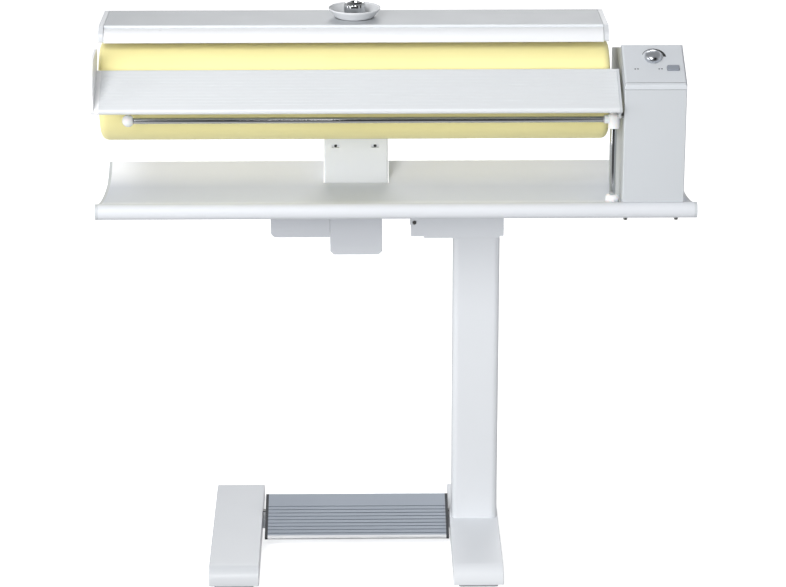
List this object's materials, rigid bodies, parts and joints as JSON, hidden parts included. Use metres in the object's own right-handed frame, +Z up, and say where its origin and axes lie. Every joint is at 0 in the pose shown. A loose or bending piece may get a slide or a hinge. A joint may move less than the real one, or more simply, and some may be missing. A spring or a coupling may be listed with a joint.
{
  "type": "flatwork ironer",
  "caption": "Folding rotary flatwork ironer with a yellow padded roller, heated hood, feed table, take-off tray, laundry rail and foot pedal.",
  "frame": {"origin": "on the floor, under the middle of the tray and of the feet's depth", "axes": "+X along the roller towards the control housing, +Y to the rear, +Z up"},
  "size_m": [0.985, 0.38, 0.961],
  "materials": {
    "body_white": "satin moulded plastic",
    "hood_grey": "satin paint, pale grey",
    "stand_white": "satin paint, white",
    "tray_white": "satin paint, white",
    "box_grey": "moulded plastic, light grey",
    "steel": "bare steel",
    "chrome": "polished chrome",
    "plate_aluminium": "polished aluminium shoe",
    "tread_aluminium": "anodised, blue-grey",
    "table_white": "extrusion with white satin coating",
    "dark_plastic": "moulded plastic, dark grey",
    "white_gloss": "glossy white plastic",
    "cloth": "pale yellow cotton cover",
    "felt": "felt padding",
    "rubber": "black rubber",
    "board_green": "coated circuit board",
    "tank_natural": "natural plastic",
    "motor_grey": "grey paint",
    "button_grey": "grey plastic"
  },
  "bodies": {
    "stand": {"left_foot": "stand_white", "right_foot": "stand_white", "base_crossbar": "stand_white", "column": "stand_white", "column_bracket": "box_grey", "glide_feet": "dark_plastic", "fold_pivot_pin": "steel", "pedal_pins": "steel", "pedal_switch": "dark_plastic"},
    "pedal": {"pedal_plate": "tread_aluminium", "pedal_end_caps": "dark_plastic"},
    "left_transport_wheel": {"wheel_left": "dark_plastic"},
    "right_transport_wheel": {"wheel_right": "dark_plastic"},
    "head": {"head_frame": "stand_white", "tray": "tray_white", "tray_end_caps": "body_white", "control_housing": "body_white", "control_panel": "body_white", "housing_rear_cover": "body_white", "housing_screws": "steel", "control_board": "board_green", "drive_motor": "motor_grey", "drive_belt": "rubber", "shaft_bearings": "dark_plastic", "mains_housing": "box_grey", "cable_gland": "dark_plastic", "press_housing": "box_grey", "press_motor": "motor_grey", "arm_guide": "dark_plastic", "feed_hinge_pin": "steel", "rail_socket": "white_gloss"},
    "roller": {"roller_tube": "steel", "roller_end_discs": "steel", "roller_shaft": "steel", "roller_pulley": "plate_aluminium", "roller_padding": "felt", "roller_cover": "cloth"},
    "motor_drive": {"motor_pulley": "steel"},
    "press": {"heater_plate": "plate_aluminium", "heating_element": "steel", "lift_arm": "steel", "arm_cover": "body_white", "arm_cover_screws": "steel", "hood_shell": "hood_grey", "hood_end_caps": "body_white", "water_tank": "tank_natural", "filler_bowl": "chrome"},
    "guard": {"finger_guard": "body_white"},
    "cap": {"filler_cap": "white_gloss"},
    "crank": {"press_crank": "steel"},
    "feed": {"feed_table": "table_white", "feed_guard_left": "body_white", "feed_end_cap_right": "body_white"},
    "rail": {"rail_post": "chrome", "rail_elbow": "white_gloss", "rail_bar": "chrome", "rail_ball": "white_gloss"},
    "dial": {"dial": "chrome"},
    "button": {"power_button": "button_grey"}
  },
  "joints": [
    {"name": "head_fold", "type": "hinge", "parent": "stand", "child": "head", "pos_m": [0.033, 0.058, 0.582], "axis": [0, -1, 0], "range_deg": [0, 90]},
    {"name": "plate_press", "type": "slide", "parent": "head", "child": "press", "axis": [0, 0, -1], "range_m": [0, 0.015]},
    {"name": "crank_turn", "type": "hinge", "parent": "head", "child": "crank", "pos_m": [-0.0655, 0.104, 0.555], "axis": [0, 1, 0], "range_deg": [0, 90]},
    {"name": "roller_spin", "type": "hinge", "parent": "head", "child": "roller", "pos_m": [0.4, 0, 0.823], "axis": [1, 0, 0], "continuous": true},
    {"name": "motor_spin", "type": "hinge", "parent": "head", "child": "motor_drive", "pos_m": [0.4525, -0.015, 0.725], "axis": [1, 0, 0], "continuous": true},
    {"name": "feed_table_tilt", "type": "hinge", "parent": "head", "child": "feed", "pos_m": [0.3625, -0.13, 0.8125], "axis": [1, 0, 0], "range_deg": [0, 25]},
    {"name": "rail_swivel", "type": "hinge", "parent": "head", "child": "rail", "pos_m": [0.355, -0.116, 0.73], "axis": [0, 0, 1], "range_deg": [0, 90]},
    {"name": "dial_turn", "type": "hinge", "parent": "head", "child": "dial", "pos_m": [0.4195, -0.08, 0.89436], "axis": [0, 0.4392, -0.8984], "range_deg": [0, 270]},
    {"name": "button_press", "type": "slide", "parent": "head", "child": "button", "axis": [0, 0.4392, -0.8984], "range_m": [0, 0.002], "stiffness_N_per_m": 400, "springref_m": -0.001},
    {"name": "guard_swing", "type": "hinge", "parent": "press", "child": "guard", "pos_m": [0, -0.0297, 0.9316], "axis": [-1, 0, 0], "range_deg": [0, 12], "stiffness_Nm_per_rad": 1.5, "springref_deg": -6},
    {"name": "cap_lift", "type": "slide", "parent": "press", "child": "cap", "axis": [0, 0, 1], "range_m": [0, 0.03]},
    {"name": "pedal_press", "type": "hinge", "parent": "stand", "child": "pedal", "pos_m": [-0.06675, 0.075, 0.03147], "axis": [1, 0, 0], "range_deg": [0, 3], "stiffness_Nm_per_rad": 30, "springref_deg": -1.49},
    {"name": "left_wheel_roll", "type": "hinge", "parent": "stand", "child": "left_transport_wheel", "pos_m": [-0.2755, 0.1715, 0.016], "axis": [1, 0, 0], "continuous": true},
    {"name": "right_wheel_roll", "type": "hinge", "parent": "stand", "child": "right_transport_wheel", "pos_m": [0.139, 0.1715, 0.016], "axis": [1, 0, 0], "continuous": true}
  ],
  "couplings": [
    {"joint": "crank_turn", "follows": "plate_press", "rad_per_m": 104.72},
    {"joint": "motor_spin", "follows": "roller_spin", "ratio": 4.1667}
  ]
}
